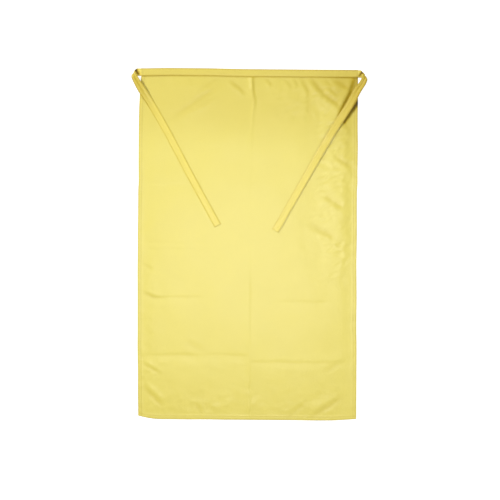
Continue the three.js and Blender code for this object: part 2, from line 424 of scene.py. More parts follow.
def panel_front(u, v):
    """Height of the panel's front over the table, over the flat pattern."""
    settings = cloth_settings()
    side, foot, head = SIDE - np.abs(u), v - FOOT, BAND_LOW - v
    nearest = np.minimum(side, foot)
    inner = ramp(nearest, HEM, 42 * MM) * ramp(head, 0, 30 * MM)
    base = HEM_FRONT + (BESIDE_HEM - HEM_FRONT) * ramp(nearest, HEM - 1 * MM, HEM + 3.5 * MM)
    base = base + (FIELD_FRONT - BESIDE_HEM) * inner
    loose = ramp(nearest, 0.5 * HEM, 30 * MM)
    marks = settings.crease_depth * pressed_creases(u, v) * (
        0.35 + 0.65 * ramp(nearest, 0, 1.6 * HEM))
    rumpled = soft_folds(u, v)[0] * (0.25 + 0.75 * loose) + gathers(u, v)
    rumpled += rumples(u, v) * (0.15 + 0.85 * loose) * ramp(head, -2 * MM, 26 * MM)
    marks = marks + settings.rumple_depth * rumpled
    for distance, run in ((side, v), (foot, u)):
        pull = 0.75 + 0.25 * np.cos(2 * np.pi * run / PUCKER_PITCH)
        marks = marks - 0.26 * MM * bump_at(distance - SEAM_LINE, 0.8 * MM) * pull
    over = base + marks - LOWEST_FRONT
    height = LOWEST_FRONT + 0.5 * (over + np.sqrt(over ** 2 + (0.25 * MM) ** 2))
    rim = np.clip(1 - nearest / (1.1 * MM), 0, 1)
    height = height - 0.38 * MM * (1 - np.sqrt(1 - rim ** 2))
    tucked = ramp(v, BAND_LOW - 2.5 * MM, BAND_LOW + 0.5 * MM)
    return height * (1 - tucked) + TUCK_FRONT * tucked


def panel_shade(u, v):
    """Painted shade on the panel: at its edges, in its seam grooves, as a shadow under the
    waistband, along the top of the middle crease and in the folds' valleys, over the top and the
    upper right, beside the right tie, a little darker towards the bottom, and the ties' painted
    shadows.
    """
    side, foot, head = SIDE - np.abs(u), v - FOOT, BAND_LOW - v
    shade = 0.20 * bump_at(np.minimum(side, foot), 3.4 * MM)
    shade += 0.10 * bump_at(side - SEAM_LINE, 0.9 * MM) + 0.10 * bump_at(foot - SEAM_LINE, 0.9 * MM)
    shade += 0.22 * bump_at(np.maximum(head, 0), 2.0 * MM)
    shade += 0.10 * bump_at(u - 12.5 * MM, 4 * MM) * ramp(v, 0.33, 0.40)
    shade += 0.085 * soft_folds(u, v)[1]
    shade += 0.12 * ramp(u, 0.11, 0.24) * ramp(v, 0.33, 0.42) + 0.13 * ramp(v, 0.22, 0.37)
    shade += 0.09 * ramp(u, 0.20, 0.255) * ramp(v, 0.16, 0.26) + 0.05 * (1 - ramp(v, -0.44, -0.28))
    return shade + painted_tie_shadows(u, v)


def painted_tie_shadows(u, v):
    """How deep the ties' painted shadows are on the panel, in the narrow places beside and under
    their edges.
    """
    shade = np.zeros_like(u)
    for u0, v0, u1, v1, half_width, depth in PAINTED_TIE_SHADOWS:
        start, step = np.array((u0, v0)) * MM, np.array((u1 - u0, v1 - v0)) * MM
        share = ((u - start[0]) * step[0] + (v - start[1]) * step[1]) / (step @ step)
        share = np.clip(share, 0, 1)
        away = np.hypot(u - start[0] - share * step[0], v - start[1] - share * step[1])
        shade = np.maximum(shade, depth * bump_at(away, half_width * MM))
    return shade


def panel_height_at(x, y):
    """Height of the panel's front at places on the table."""
    return panel_front(*pattern_point(x, y))


# ---- Mesh making ----

def grid_lines(low, high, step, places, growth=0.22):
    """An odd number of lines from low to high, closer together at places: (position, spacing)."""
    lines = [low]
    while lines[-1] < high:
        here = lines[-1]
        spacing = min([step] + [fine + growth * abs(here + fine / 2 - at) for at, fine in places])
        lines.append(here + spacing)
    if len(lines) % 2 == 0:
        lines.append(lines[-1] + step)
    lines = np.array(lines)
    return low + (lines - low) * (high - low) / (lines[-1] - low)


def outline(at):
    """A grid's border, counter-clockwise as seen from the front and back to its start."""
    return np.concatenate([at[0], at[1:, -1], at[-1, -2::-1], at[-2::-1, 0]]).tolist()


def closed_sheet(name, front, back, pattern, material, shade=None):
    """A sheet of cloth from grids of points on its front and back, closed all round its rim.

    The back may have every second row and column of the front. pattern holds the front's places in
    the flat cloth, which the weave follows, and shade how deep the painted shade lies at each
    point."""
    step = (front.shape[0] - 1) // (back.shape[0] - 1)
    front_at = np.arange(front[..., 0].size).reshape(front.shape[:2])
    back_at = front_at.size + np.arange(back[..., 0].size).reshape(back.shape[:2])
    faces = []
    for at, turned in ((front_at, False), (back_at, True)):
        quads = np.stack([at[:-1, :-1], at[:-1, 1:], at[1:, 1:], at[1:, :-1]], -1).reshape(-1, 4)
        faces += (quads[:, ::-1] if turned else quads).tolist()
    front_rim, back_rim = outline(front_at), outline(back_at)
    for i in range(len(back_rim) - 1):
        faces.append([back_rim[i], back_rim[i + 1]] + front_rim[step * i:step * i + step + 1][::-1])
    points = np.concatenate([front.reshape(-1, 3), back.reshape(-1, 3)])
    places = np.concatenate([pattern.reshape(-1, 2), pattern[::step, ::step].reshape(-1, 2)])
    shade = np.zeros(front.shape[:2]) if shade is None else np.clip(shade, 0, 1)
    shades = np.concatenate([shade.ravel(), shade[::step, ::step].ravel()])
    return add_piece(name, points, faces, places, shades, material)


def signed_volume(mesh):
    mesh.calc_loop_triangles()
    corners = np.array([t.vertices for t in mesh.loop_triangles])
    points = np.array([v.co for v in mesh.vertices])
    a, b, c = points[corners[:, 0]], points[corners[:, 1]], points[corners[:, 2]]
    return float((a * np.cross(b, c)).sum() / 6)


def add_object(name, data):
    """A new object in the scene."""
    item = bpy.data.objects.new(name, data)
    bpy.context.scene.collection.objects.link(item)
    return item


def add_piece(name, points, faces, places, shades, material):
    """A smooth piece with its normals out, its cloth pattern and its painted shade."""
    mesh = bpy.data.meshes.new(name)
    mesh.from_pydata(points.tolist(), [], faces)
    mesh.update()
    if signed_volume(mesh) < 0:
        mesh.flip_normals()
    corner_vertices = np.empty(len(mesh.loops), np.int32)
    mesh.loops.foreach_get("vertex_index", corner_vertices)
    layer = mesh.uv_layers.new(name="cloth")
    layer.data.foreach_set("uv", places[corner_vertices].astype(np.float32).ravel())
    # The painted shade, kept on each point for the cloth's material.
    depth = mesh.attributes.new("shade", "FLOAT", "POINT")
    depth.data.foreach_set("value", shades.astype(np.float32))
    mesh.polygons.foreach_set("use_smooth", np.ones(len(mesh.polygons), bool))
    mesh.set_sharp_from_angle(angle=SHARP_ANGLE)
    mesh.materials.append(material)
    return add_object(name, mesh)


# ---- Materials ----

class NodeMaker:
    """Adds nodes to one tree. Inputs take plain values or other nodes' outputs."""

    def __init__(self, tree):
        self.tree = tree

    def feed(self, socket, value):
        if isinstance(value, bpy.types.NodeSocket):
            self.tree.links.new(value, socket)
        else:
            socket.default_value = value

    def fill(self, node, inputs):
        for name, value in inputs.items():
            self.feed(node.inputs[name], value)

    def add(self, kind, inputs=None, **values):
        node = self.tree.nodes.new(kind)
        for name, value in values.items():
            setattr(node, name, value)
        self.fill(node, inputs or {})
        return node

    def maths(self, operation, *values):
        return self.add("ShaderNodeMath", dict(enumerate(values)), operation=operation).outputs[0]

    def blend(self, kind, factor, first, second):
        node = self.add("ShaderNodeMix", {"Factor": factor}, data_type="RGBA", blend_type=kind)
        colours = [socket for socket in node.inputs if socket.type == "RGBA"]
        self.feed(colours[0], first)
        self.feed(colours[1], second)
        return next(socket for socket in node.outputs if socket.type == "RGBA")

    def noise(self, place, scale, detail=2.0):
        inputs = {"Vector": place, "Scale": scale, "Detail": detail}
        return self.add("ShaderNodeTexNoise", inputs).outputs["Fac"]


def make_weave_group():
    """A plain weave over the cloth's own pattern, with uneven threads and a faint mottle, and the
    painted shade from the Shade input, which deepens the colour and takes away the coat.
    """
    group = bpy.data.node_groups.new("Plain weave", "ShaderNodeTree")
    for name, kind, value in (
            ("Place", "Vector", None), ("Colour", "Color", (0.8, 0.7, 0.2, 1)),
            ("Thread Pitch", "Float", 0.42 * MM), ("Mottle", "Float", 0.05),
            ("Shade", "Float", 0.0)):
        socket = group.interface.new_socket(name, in_out="INPUT", socket_type=f"NodeSocket{kind}")
        if value is not None:
            socket.default_value = value
    for name, kind in (("Colour", "Color"), ("Height", "Float"), ("Roughness", "Float"),
                       ("Coat Outside Painted Shade", "Float")):
        group.interface.new_socket(name, in_out="OUTPUT", socket_type=f"NodeSocket{kind}")
    make = NodeMaker(group)
    given = make.add("NodeGroupInput").outputs
    place, pitch, deep = given["Place"], given["Thread Pitch"], given["Shade"]
    split = make.add("ShaderNodeSeparateXYZ", {0: place}).outputs
    across, up = (make.maths("DIVIDE", split[axis], pitch) for axis in "XY")
    warp, weft = (make.maths("ABSOLUTE", make.maths("SINE", make.maths("MULTIPLY", run, math.pi)))
                  for run in (across, up))
    cells = make.maths("ADD", make.maths("FLOOR", across), make.maths("FLOOR", up))
    over = make.maths("FLOORED_MODULO", cells, 2.0)
    weave = make.maths("ADD", make.maths("MULTIPLY", warp, over),
                       make.maths("MULTIPLY", weft, make.maths("SUBTRACT", 1.0, over)))
    stretched = (make.add("ShaderNodeMapping", {"Vector": place, "Scale": scale}).outputs[0]
                 for scale in ((1.0, 0.04, 1.0), (0.04, 1.0, 1.0)))
    slub = make.maths("ADD", *(make.noise(along, 900.0) for along in stretched))
    thick_thread = make.maths("MULTIPLY", make.maths("SUBTRACT", slub, 1.0), 0.9)
    cloud = make.maths("SUBTRACT", make.noise(place, 14.0, 3.0), 0.5)
    shade = make.maths("ADD", cloud, make.maths("MULTIPLY", thick_thread, 0.7))
    weave_shade = make.maths("MULTIPLY", make.maths("SUBTRACT", weave, 0.6), 1.8)
    shade = make.maths("MULTIPLY_ADD", make.maths("ADD", shade, weave_shade), given["Mottle"], 1.0)
    tint = make.add("ShaderNodeCombineColor", dict.fromkeys(range(3), shade)).outputs[0]
    coloured = make.blend("MULTIPLY", 1.0, given["Colour"], tint)
    # Painted shade: the colour deepens towards a golden shade up to the split value, and past it
    # towards a dark painted pocket shadow.
    shaded_colour = make.blend("MULTIPLY", 1.0, coloured, PAINTED_SHADE_TONE)
    shade_share = make.maths("MINIMUM", make.maths("DIVIDE", deep, POCKET_SHADOW_START), 1.0)
    toned = make.blend("MIX", shade_share, coloured, shaded_colour)
    past_pocket_shadow_start = make.maths("SUBTRACT", deep, POCKET_SHADOW_START)
    pocket_shadow_share = make.maths("MAXIMUM", make.maths("DIVIDE", past_pocket_shadow_start, 1 - POCKET_SHADOW_START), 0.0)
    pocket_shadow = make.blend("MULTIPLY", 1.0, coloured, POCKET_SHADOW_TONE)
    rough = make.maths("MULTIPLY_ADD", cloud, 0.10, 0.55)
    make.add("NodeGroupOutput", {
        "Colour": make.blend("MIX", pocket_shadow_share, toned, pocket_shadow),
        "Height": make.maths("ADD", weave, thick_thread),
        "Roughness": make.maths("MULTIPLY_ADD", thick_thread, 0.08, rough),
        # The coat is taken away where shade is painted.
        "Coat Outside Painted Shade": make.maths("SUBTRACT", 1.0, shade_share)})


def new_material(name):
    """A new material, with the maker for its nodes and its shader."""
    material = bpy.data.materials.new(name)
    material.use_nodes = True
    return material, NodeMaker(material.node_tree), material.node_tree.nodes["Principled BSDF"]


def make_cloth_material(name, colour, mottle, finish):
    """The apron's smooth cotton blend: a close plain weave with a soft satin light on it."""
    _, make, shader = new_material(name)
    weave = make.add("ShaderNodeGroup", node_tree=bpy.data.node_groups["Plain weave"])
    # The weave takes the painted shade from the shade attribute, and the coat weight falls where
    # shade is painted.
    make.fill(weave, {
        "Place": make.add("ShaderNodeUVMap", uv_map="cloth").outputs["UV"], "Colour": (*colour, 1),
        "Thread Pitch": cloth_settings().thread_pitch, "Mottle": mottle,
        "Shade": make.add("ShaderNodeAttribute", attribute_name="shade").outputs["Fac"]})
    relief = make.add("ShaderNodeBump", {
        "Strength": 0.75, "Distance": 0.10 * MM, "Height": weave.outputs["Height"]})
    make.fill(shader, {
        "Base Color": weave.outputs["Colour"], "Roughness": weave.outputs["Roughness"],
        "Normal": relief.outputs["Normal"], "Specular IOR Level": 0.3,
        "Coat Weight": make.maths("MULTIPLY", weave.outputs["Coat Outside Painted Shade"], finish),
        "Coat Roughness": 0.33, "Sheen Weight": 0.03, "Sheen Roughness": 0.45})


def make_thread_material(name, colour):
    """Spun thread: fine plies that run round each stitch, and a duller and brighter spot or two."""
    _, make, shader = new_material(name)
    place = make.add("ShaderNodeTexCoord").outputs["Object"]
    plies = make.add("ShaderNodeTexWave", {"Vector": place, "Scale": 900.0, "Distortion": 1.5},
                     wave_type="BANDS", bands_direction="DIAGONAL").outputs["Fac"]
    fuzz = make.noise(place, 2600.0)
    height = make.maths("ADD", plies, make.maths("MULTIPLY", fuzz, 0.5))
    relief = make.add("ShaderNodeBump", {"Strength": 0.6, "Distance": 0.06 * MM, "Height": height})
    deep = (*(0.72 * c for c in colour), 1)
    make.fill(shader, {
        "Base Color": make.blend("MIX", plies, deep, (*colour, 1)),
        "Roughness": make.maths("MULTIPLY_ADD", fuzz, 0.25, 0.42),
        "Normal": relief.outputs["Normal"]})


def material_named(name):
    return bpy.data.materials[name]


# ---- Ties ----

class TieLay:
    """How one tie lies: out of the waistband's end, round a soft roll and down over the panel."""

    # For each side: the slope down from the roll, how far the inner edge is drawn in at the turn
    # and where that ends, how high the tape stands clear, how deep the painted shade is over the
    # turn and how far that reaches, the width of the dark painted shadow in the pocket inside the
    # turn, and how the tape bows outwards, in millimetres: at its outer edge, at its inner edge,
    # centre and half length.
    lays = {
        "left": dict(
            slope_run=84 * MM, drawn=3.6 * MM, drawn_until=(14 * MM, 62 * MM), lift=0.15 * MM,
            turn_shade=(0.30, 100 * MM), pocket_shadow=4.4 * MM,
            bows=[(2.8, 1.2, 46, 30), (-3.0, -3.0, 170, 110)]),
        "right": dict(
            slope_run=134 * MM, drawn=5.4 * MM, drawn_until=(24 * MM, 48 * MM), lift=1.7 * MM,
            turn_shade=(0.42, 150 * MM), pocket_shadow=3.2 * MM,
            bows=[(5.0, 4.9, 84, 56), (3.0, 0.4, 22, 20)]),
    }
    panel_clearance = 0.15 * MM

    def __init__(self, side):
        joint = next(j for j in frame["joints"] if j["name"] == f"{side}_tie_unfold")
        pivot, axis = Vector(joint["pos_m"]), Vector(joint["axis"]).normalized()
        root_low, root_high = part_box(f"{side}_tie_root")
        tie_low, tie_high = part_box(f"{side}_tie")
        self.side, self.body, self.lay = side, f"{side}_tie", self.lays[side]
        self.sign, self.cos, self.sin = math.copysign(1, pivot.x), abs(axis.y), abs(axis.x)
        self.root_z = (root_low.z + root_high.z) / 2
        self.radius = pivot.z - self.root_z
        self.roll_top = self.root_z + 2 * self.radius
        self.roll_foot = (pivot.x, pivot.y, self.root_z + TIE_THICKNESS / 2)
        self.roll_head = (pivot.x, pivot.y, self.roll_top - TIE_THICKNESS / 2)
        self.half_roll = math.pi * self.radius / 2
        self.turn_x = abs(pivot.x) + self.half_roll * self.cos
        self.turn_y = pivot.y + self.half_roll * self.sin
        self.root_start = min(abs(root_low.x), abs(root_high.x)) - self.turn_x
        angle = 2 * math.asin(self.sin)
        end_x = min(abs(tie_low.x), abs(tie_high.x)) + HALF_TIE * math.sin(angle)
        end_y = tie_low.y + HALF_TIE * math.cos(angle)
        self.length = math.hypot(end_x - self.turn_x, end_y - self.turn_y)
        self.rest = self.resting_height()

    def axes(self, along, across):
        """Distance outwards from the turn, and distance along the line that the tape turns on."""
        return along * self.cos + across * self.sin, across * self.cos - along * self.sin

    def on_table(self, distance, on_axis):
        x = self.turn_x + distance * self.cos - on_axis * self.sin
        y = self.turn_y + distance * self.sin + on_axis * self.cos
        return self.sign * x, y

    def resting_height(self):
        """The tape's middle height where it rests on the panel: (distance along, height)."""
        along = np.arange(self.half_roll, self.length + 4 * MM, 2 * MM)
        outward, on_axis = self.axes(along[:, None], np.linspace(-HALF_TIE, HALF_TIE, 9)[None, :])
        under = panel_height_at(*self.on_table(-outward, on_axis)).max(1)
        reach = 3
        padded = np.pad(under, reach, mode="edge")
        highest = np.array([padded[i:i + 2 * reach + 1].max() for i in range(len(under))])
        spread = np.pad(highest, reach, mode="edge")
        smooth = np.convolve(spread, np.ones(2 * reach + 1) / (2 * reach + 1), mode="valid")
        return along, smooth + TIE_THICKNESS / 2 + self.panel_clearance

    def roll_cut(self, outward, across):
        """Distance along the tape of a line parallel to the roll."""
        return (outward - across * self.sin) / self.cos

    def gathered(self, along, across):
        """The tape's width gathered at the turn: its inner edge is drawn outwards there, its outer
        corner is rounded, and it bows out a little on its way down."""
        inner_share = ramp(across, -HALF_TIE, HALF_TIE)
        drawn = self.lay["drawn"] * between(along, -12 * MM, -4 * MM, *self.lay["drawn_until"])
        corner = 2.2 * MM * bump_at(along - 5 * MM, 6 * MM) * ramp(-across, 0, HALF_TIE)
        bow = sum((outer + (inner - outer) * inner_share) * bump_at(along / MM - centre, reach)
                  for outer, inner, centre, reach in self.lay["bows"])
        return across - drawn * inner_share + corner - bow * MM

    def place(self, along, across, through):
        """Points of the tape once it is turned back. through is measured from its middle, towards
        the side that faces up in the waistband."""
        channel = 0.20 * MM + 0.95 * MM * bump_at(along - 20 * MM, 44 * MM)
        channel = channel * ramp(along, -20 * MM, 2 * MM)
        through = through + channel * (bump_at(across - VALLEY_ACROSS, 2.6 * MM) - 0.2)
        tilt = 0.5 - 0.5 * across / HALF_TIE
        outward, on_axis = self.axes(along, self.gathered(along, across))
        before, after = outward + self.half_roll, outward - self.half_roll
        turned = np.clip(before / self.radius, 0, math.pi)
        distance = -self.half_roll + (self.radius - through) * np.sin(turned)
        distance = distance + np.minimum(before, 0) - np.maximum(after, 0)
        height = self.root_z + self.radius - (self.radius - through) * np.cos(turned)
        laid = np.interp(along, *self.rest)
        laid = laid + self.lay["lift"] * (0.15 + tilt) * (1 - 0.65 * ramp(along, 0.08, 0.40))
        down = ramp(outward, self.half_roll - 1 * MM, self.half_roll + self.lay["slope_run"])
        height = height + (laid - self.roll_top) * down
        return np.stack([*self.on_table(distance, on_axis), height], -1)

    def shade(self, along, across):
        """Painted shade on the tape: at its edges and seam grooves, along its outer edge and its
        valley near the turn, over the turned part and round the roll's rim, and a dark painted
        shadow in the pocket inside the turn.
        """
        outward = self.axes(along, across)[0]
        shade = 0.10 * bump_at(HALF_TIE - np.abs(across), 1.0 * MM)
        shade += 0.26 * bump_at(HALF_TIE + across, 2.0 * MM) * (1 - ramp(along, 60 * MM, 150 * MM))
        shade += 0.10 * bump_at(np.abs(across) - (TIE_SEAM - 0.5 * MM), 0.8 * MM)
        # A dark painted shadow in the pocket inside the turn.
        pocket_shadow = 0.92 * bump_at(along + 11.7 * MM - 0.6 * across, self.lay["pocket_shadow"])
        shade += pocket_shadow * ramp(across, -9 * MM, -3 * MM) * (1 - ramp(along, -6 * MM, 1 * MM))
        valley = 0.20 * bump_at(across - VALLEY_ACROSS, 1.7 * MM) * ramp(along, -4 * MM, 4 * MM)
        shade += valley * bump_at(along - 25 * MM, 40 * MM)
        # Painted shade over the turned part, and at the roll's rim.
        depth, reach = self.lay["turn_shade"]
        shade += depth * bump_at(np.maximum(outward, 0), reach) * ramp(along, -9 * MM, 1 * MM)
        return shade + 0.22 * bump_at(outward, 4 * MM)


def tape_section():
    """Places across the tape, with the height of its face over its middle at each."""
    ease = 0.5 * MM
    steps = np.concatenate([
        np.linspace(0, TIE_SEAM - 1.6 * MM, 9)[:-1],
        np.linspace(TIE_SEAM - 1.6 * MM, HALF_TIE - ease, 11)[:-1],
        HALF_TIE - ease * (1 - np.sin(np.linspace(0, math.pi / 2, 5)))])
    across = np.concatenate([-steps[:0:-1], steps])
    out = np.abs(across)
    face = TIE_THICKNESS / 2 * (
        0.25 + 0.75 * np.sqrt(1 - np.clip((out - (HALF_TIE - ease)) / ease, 0, 1) ** 2))
    plump = 0.18 * MM * bump_at(out - (TIE_SEAM - 2.4 * MM), 1.6 * MM)
    return across, face + plump - 0.24 * MM * bump_at(out - TIE_SEAM, 0.6 * MM)


def make_tape(name, lay, along, across, face):
    """A stretch of tape. along holds the distance down the tape at each cut and place across."""
    across = np.broadcast_to(across, along.shape)
    waver = 0.25 * MM * noise(along / 0.031, along * 0 + lay.sign * 2.3, 61)
    pull = 1 + 0.05 * noise(along / 0.006, across / 0.004, 62)
    held = np.clip((lay.length - along) / (0.7 * MM), 0, 1)
    face = face * pull * (0.3 + 0.7 * np.sqrt(1 - (1 - held) ** 2))
    band_end = SIDE - lay.turn_x
    face = face * (1 - 0.35 * (1 - ramp(along, band_end - 3 * MM, band_end + 2 * MM)))
    wavering = across + waver * ramp(along, lay.half_roll, 60 * MM)
    pattern = np.stack([along + 1.0, across + lay.sign * 0.05], -1)
    return closed_sheet(name, lay.place(along, wavering, face), lay.place(along, wavering, -face),
                        pattern, material_named("tie cloth"), lay.shade(along, across))


class APRON_OT_ties(bpy.types.Operator):
    """Make both ties, each as its turn at the corner and the tape laid over the panel"""
    bl_idname = "apron.ties"
    bl_label = "Ties"

    def execute(self, context):
        across, face = tape_section()
        root_cuts = np.linspace(0, 1, 22)[:, None]
        cuts = np.concatenate([np.linspace(0, 0.3, 64)[:-1], np.linspace(0.3, 0.985, 110)[:-1],
                               np.linspace(0.985, 1, 14)])[:, None]
        for side in ("left", "right"):
            lay = TieLay(side)
            roll_starts, roll_ends = (
                lay.roll_cut(end, across)[None, :] for end in (-lay.half_roll, lay.half_roll))
            root = lay.root_start * (1 - root_cuts) + roll_starts * root_cuts
            rolled = np.linspace(-lay.half_roll, lay.half_roll, 37)[1:, None]
            along = np.concatenate([root, lay.roll_cut(rolled, across[None, :])])
            turn = make_tape(f"{side}_tie_turn", lay, along, across, face)
            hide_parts(f"{side}_tie_root", f"{side}_tie_roll")
            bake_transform(turn)
            along = roll_ends * (1 - cuts) + lay.length * cuts
            tape = make_tape(f"{side}_tie_tape", lay, along, across, face)
            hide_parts(f"{side}_tie")
            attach(tape, lay.body)
        return {"FINISHED"}


# ---- Panel, hems and waistband ----

def lowest_nearby(heights):
    """The lowest of each point of a grid and the eight around it."""
    padded = np.pad(heights, 1, mode="edge")
    rows, columns = heights.shape
    return np.min([padded[i:i + rows, j:j + columns] for i in range(3) for j in range(3)], axis=0)


class APRON_OT_panel(bpy.types.Operator):
    """Make the panel as one sheet, with its pressed creases, soft folds and puckered seams"""
    bl_idname = "apron.panel"
    bl_label = "Panel"

    def execute(self, context):
        sides = [(sign * (SIDE - inset), step) for _, sign in SIDES
                 for inset, step in ((0, EDGE_STEP), (SEAM_LINE, SEAM_STEP))]
        columns = grid_lines(-SIDE, SIDE, GRID_STEP, sides + [(8 * MM, 1.5 * MM)])
        rows = grid_lines(FOOT, TUCK_TOP, GRID_STEP, [
            (FOOT, EDGE_STEP), (FOOT + SEAM_LINE, SEAM_STEP), (BAND_LOW, 1.2 * MM)]
            + [(crease[0] * MM, 1.4 * MM) for crease in PRESSED_ACROSS], growth=0.35)
        u, v = np.meshgrid(columns, rows)
        x, y = lie(u, v)
        top = panel_front(u, v)
        under = np.maximum(lowest_nearby(top) - cloth_settings().cloth_thickness, TABLE_GAP)
        front = np.stack([x, y, top], -1)
        back = np.stack([x, y, under], -1)[::2, ::2]
        panel = closed_sheet("panel", front, back, np.stack([u, v], -1),
                             material_named("panel cloth"), panel_shade(u, v))
        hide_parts("upper_panel", "panel_crease", "lower_panel")
        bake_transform(panel)
        return {"FINISHED"}


def make_hem(name, edge_point, run):
    """The turned layers behind one edge. edge_point gives the pattern's u and v from the run along
    the edge and the distance in from it."""
    inset, low, high = (column[None, :] for column in np.array(HEM_SECTION).T)
    inset = inset * MM
    u, v = edge_point(run[:, None], inset)
    x, y = lie(u, v)
    roof = panel_front(*edge_point(run[:, None], np.maximum(inset, 1.3 * MM)))
    roof = roof - cloth_settings().cloth_thickness - 0.04 * MM
    floor = TABLE_GAP + 0.05 * MM * (1 + noise(run / 0.012, run * 0 + 4.4, 71))[:, None]
    roof = np.maximum(roof, floor + 0.16 * MM)
    front, back = (np.stack([x, y, floor + share * (roof - floor)], -1) for share in (high, low))
    pattern = np.stack([u + 2.0, v], -1)
    return closed_sheet(name, front, back, pattern, material_named("panel cloth"))


class APRON_OT_hems(bpy.types.Operator):
    """Make the turned layers of the side hems and of the bottom hem"""
    bl_idname = "apron.hems"
    bl_label = "Hems"

    def execute(self, context):
        run = grid_lines(FOOT + 1.2 * MM, BAND_LOW - 1 * MM, 3 * MM, [(FOOT, 0.8 * MM)])
        for side, sign in SIDES:
            hem = make_hem(
                f"{side}_hem", lambda r, d, s=sign: (s * (SIDE - d) + 0 * r, r + 0 * d), run)
            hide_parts(f"upper_{side}_hem", f"lower_{side}_hem")
            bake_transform(hem)
        inner = SIDE - HEM - 0.2 * MM
        run = grid_lines(-inner, inner, 3 * MM, [])
        hem = make_hem("bottom_hem_turn", lambda r, d: (r + 0 * d, FOOT + d + 0 * r), run)
        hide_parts("bottom_hem")
        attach(hem, "lower_half")
        return {"FINISHED"}


def band_shape(u):
    """The folded waistband at places along it: outer and inner (v, height) round its section."""
    ends = ramp(np.abs(u), 0.180, 0.247)
    full = (1.62 + 0.80 * ends) * MM + 0.07 * MM * noise(u / 0.021, u * 0 + 2.2, 81)
    wave = 0.09 * MM * noise(u / 0.0075, u * 0 + 6.6, 82)
    layer = cloth_settings().cloth_thickness
    seam = 0.17 * MM * (0.8 + 0.2 * np.cos(2 * np.pi * u / PUCKER_PITCH))
    tall = BAND_TOP - BAND_LOW
    outer, inner = [], []

    def point(up, z, deeper_up, deeper_z):
        outer.append((BAND_LOW + up + 0 * u, z + 0 * u))
        inner.append((BAND_LOW + up + deeper_up + 0 * u, z + deeper_z + 0 * u))

    point(0, TABLE_GAP, 0, layer)
    for up in (2 * MM, 6 * MM, 11 * MM, 15.5 * MM):
        point(up, TABLE_GAP, 0, layer)
    middle, reach = full / 2, full / 2 - TABLE_GAP
    for turn in np.linspace(-90, 90, 9):
        c, s = math.cos(math.radians(turn)), math.sin(math.radians(turn))
        up = tall - 1.1 * MM + 1.1 * MM * c
        point(up, middle + reach * s, -layer * c, -layer * s)
    for up, share in ((16.5, 0.99), (13, 1.0), (9, 0.98), (6, 0.95), (3.6, 0.90)):
        up, share = up * MM, share + (0.97 - share) * ends
        point(up, full * share + wave * (1 - up / tall), 0, -layer)
    edge = (0.80 + 0.16 * ends) * full + wave
    for up, drop in ((2.3, 0.25), (1.9, 0.7), (1.5, 1.0), (1.1, 0.7), (0.7, 0.25)):
        point(up * MM, edge - drop * seam, 0, -layer)
    point(0.25 * MM, edge - 0.06 * MM, 0, -layer + 0.05 * MM)
    point(0.02 * MM, edge - 0.15 * MM, 0.02 * MM, -layer + 0.18 * MM)
    return np.array(outer), np.array(inner)


class APRON_OT_waistband(bpy.types.Operator):
    """Make the waistband as one strip folded over the panel's top edge"""
    bl_idname = "apron.waistband"
    bl_label = "Waistband"

    def execute(self, context):
        u = grid_lines(-SIDE, SIDE, 1.55 * MM, [])
        layers, ups = [], []
        for profile in band_shape(u):
            v, z = profile[:, 0].T, profile[:, 1].T
            layers.append(np.stack([*lie(u[:, None] + 0 * v, v), z], -1))
            ups.append(v)
        v, z = ups[0], layers[0][:, :, 2]
        steps = np.diff(layers[0], axis=1, prepend=layers[0][:, :1])
        round_section = np.cumsum(np.linalg.norm(steps, axis=2), axis=1)
        pattern = np.stack([u[:, None] + 0 * v, round_section + 3.0], -1)
        # Painted shade on the waistband: in its seam groove and as a shadow at its lower edge, on
        # the front only, then on its top fold, and deeper towards the right end.
        shade = 0.40 * bump_at(v - BAND_LOW - SEAM_INSET, 1.2 * MM)
        shade = shade + 0.25 * bump_at(v - BAND_LOW, 1.0 * MM)
        shade = shade * (z > 0.45 * z.max()) + 0.45 * bump_at(v - BAND_TOP, 1.8 * MM)
        shade = shade + 0.12 * ramp(u[:, None], 0.10, 0.26)
        band = closed_sheet("waistband_cloth", *layers, pattern,
                            material_named("waistband cloth"), shade)
        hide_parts("waistband")
        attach(band, "waist")
        return {"FINISHED"}


# ---- Stitches ----

STITCH_INPUTS = (
    ("Geometry", "Geometry"), ("Stitch Length", "Float"), ("Stitch Gap", "Float"),
    ("Thread Width", "Float"), ("Seed", "Int"), ("Thread", "Material"),
)


